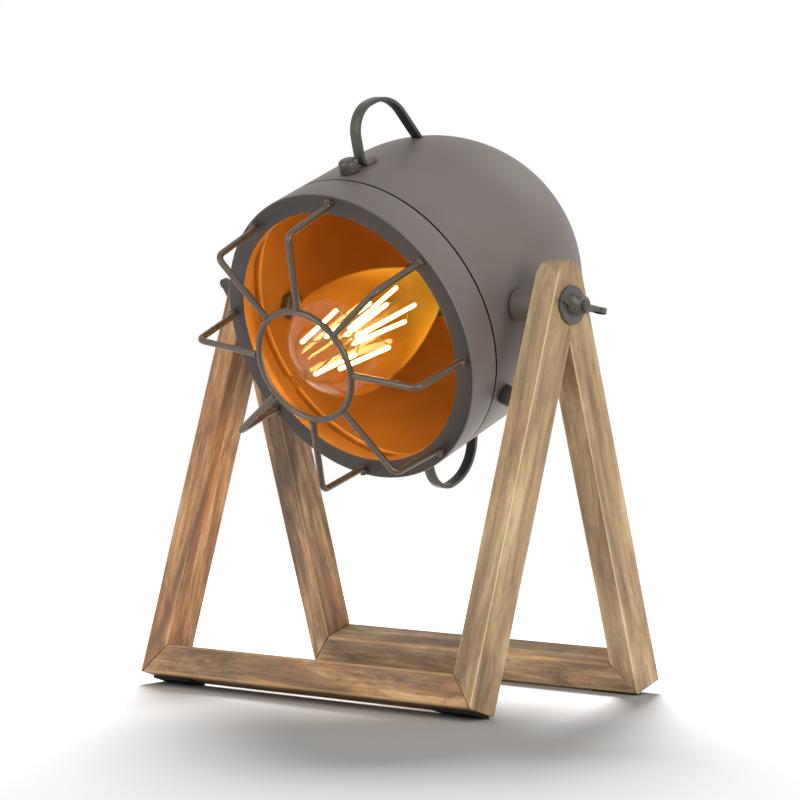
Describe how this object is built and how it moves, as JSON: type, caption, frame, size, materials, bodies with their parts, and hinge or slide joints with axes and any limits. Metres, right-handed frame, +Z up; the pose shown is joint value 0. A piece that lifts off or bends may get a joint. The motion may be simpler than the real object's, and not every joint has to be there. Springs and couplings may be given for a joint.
{
  "type": "spotlight lamp",
  "caption": "Tilting spotlight: a spun metal shade with a wire cage and strap handles, held by wing nuts between the tops of a wooden A-shaped stand, with bulb and lampholder inside.",
  "frame": {"origin": "on the floor under the middle of the whole lamp's box; the tilt axis is parallel to X, 6.2 mm toward -Y from the origin and 223.2 mm above the floor", "axes": "+Z up; +X along the tilt axis, to the right as seen from the front; -Y is the front, where the light points, 23 degrees below level at rest"},
  "size_m": [0.2772, 0.2352, 0.3428],
  "materials": {
    "leg_wood": "stained pine, wire brushed, grain along the leg, edges rubbed paler",
    "rail_wood": "stained pine, wire brushed, grain along the rail, rubbed at the corners",
    "pad_rubber": "thin dark felt on a rubber backing, matt",
    "shade_paint": "matt grey-brown enamel outside, warm copper-coloured enamel inside",
    "ring_paint": "matt dark grey-brown enamel, worn thin along the edges",
    "handle_iron": "blackened strap steel, dull, rubbed along the edges",
    "wire_iron": "dark drawn wire, half dull",
    "hardware_iron": "blackened turned steel, half dull",
    "brass": "turned brass, dulled",
    "holder_black": "black moulded phenolic",
    "gland_black": "black moulded plastic",
    "porcelain": "off-white glazed ceramic",
    "contact_black": "black glass insulator of the bulb's end",
    "bulb_glass": "thin clear amber glass",
    "stem_glass": "clear pinched glass",
    "glow": "glowing warm white sticks",
    "cap_brass": "thin rolled brass"
  },
  "bodies": {
    "stand": {"front_left_leg": "leg_wood", "front_right_leg": "leg_wood", "rear_left_leg": "leg_wood", "rear_right_leg": "leg_wood", "front_rail": "rail_wood", "rear_rail": "rail_wood", "foot_pads": "pad_rubber", "left_washer": "hardware_iron", "right_washer": "hardware_iron"},
    "shade": {"shade_shell": "shade_paint", "top_handle": "handle_iron", "bottom_handle": "handle_iron", "knob_nuts": "hardware_iron", "left_pivot_boss": "hardware_iron", "right_pivot_boss": "hardware_iron", "left_boss_nut": "hardware_iron", "right_boss_nut": "hardware_iron", "left_pivot_stud": "hardware_iron", "right_pivot_stud": "hardware_iron", "holder_body": "holder_black", "holder_cap": "holder_black", "holder_screw_shell": "brass", "holder_insert": "porcelain", "holder_contact": "brass", "holder_nipple": "brass", "nipple_nuts": "hardware_iron", "cable_gland": "gland_black"},
    "front_ring": {"bezel_ring": "ring_paint", "ring_tabs": "ring_paint", "grille_ring": "wire_iron", "grille_wire_1": "wire_iron", "grille_wire_2": "wire_iron", "grille_wire_3": "wire_iron", "grille_wire_4": "wire_iron", "grille_wire_5": "wire_iron", "grille_wire_6": "wire_iron", "grille_wire_7": "wire_iron", "grille_wire_8": "wire_iron"},
    "knob_above": {"top_knob": "hardware_iron"},
    "knob_right": {"right_knob": "hardware_iron"},
    "knob_left": {"left_knob": "hardware_iron"},
    "wing_nut_left": {"left_wing_nut": "hardware_iron"},
    "wing_nut_right": {"right_wing_nut": "hardware_iron"},
    "bulb": {"bulb_glass": "bulb_glass", "bulb_cap": "cap_brass", "bulb_contact": "contact_black", "bulb_stem": "stem_glass", "bulb_filaments": "glow", "bulb_supports": "wire_iron"}
  },
  "joints": [
    {"name": "shade_tilt", "type": "hinge", "parent": "stand", "child": "shade", "pos_m": [0, -0.00625, 0.2232], "axis": [1, 0, 0], "range_deg": [-180, 180]},
    {"name": "front_ring_off", "type": "slide", "parent": "shade", "child": "front_ring", "axis": [0, -0.9205, -0.3907], "range_m": [0, 0.06]},
    {"name": "top_knob_turn", "type": "hinge", "parent": "shade", "child": "knob_above", "pos_m": [0.00464, -0.05695, 0.30477], "axis": [0.0488, -0.3903, 0.9194], "range_deg": [0, 1080]},
    {"name": "right_knob_turn", "type": "hinge", "parent": "shade", "child": "knob_right", "pos_m": [0.07985, 0.00024, 0.17005], "axis": [0.8406, 0.2117, -0.4986], "range_deg": [0, 1080]},
    {"name": "left_knob_turn", "type": "hinge", "parent": "shade", "child": "knob_left", "pos_m": [-0.0845, -0.0029, 0.17745], "axis": [-0.8894, 0.1786, -0.4208], "range_deg": [0, 1080]},
    {"name": "left_wing_nut_turn", "type": "hinge", "parent": "shade", "child": "wing_nut_left", "pos_m": [-0.13, -0.00625, 0.2232], "axis": [-1, 0, 0], "range_deg": [0, 1080]},
    {"name": "right_wing_nut_turn", "type": "hinge", "parent": "shade", "child": "wing_nut_right", "pos_m": [0.13, -0.00625, 0.2232], "axis": [1, 0, 0], "range_deg": [0, 1080]},
    {"name": "bulb_turn", "type": "hinge", "parent": "shade", "child": "bulb", "pos_m": [0, -0.02466, 0.21539], "axis": [0, -0.9205, -0.3907], "range_deg": [0, 1800]}
  ]
}
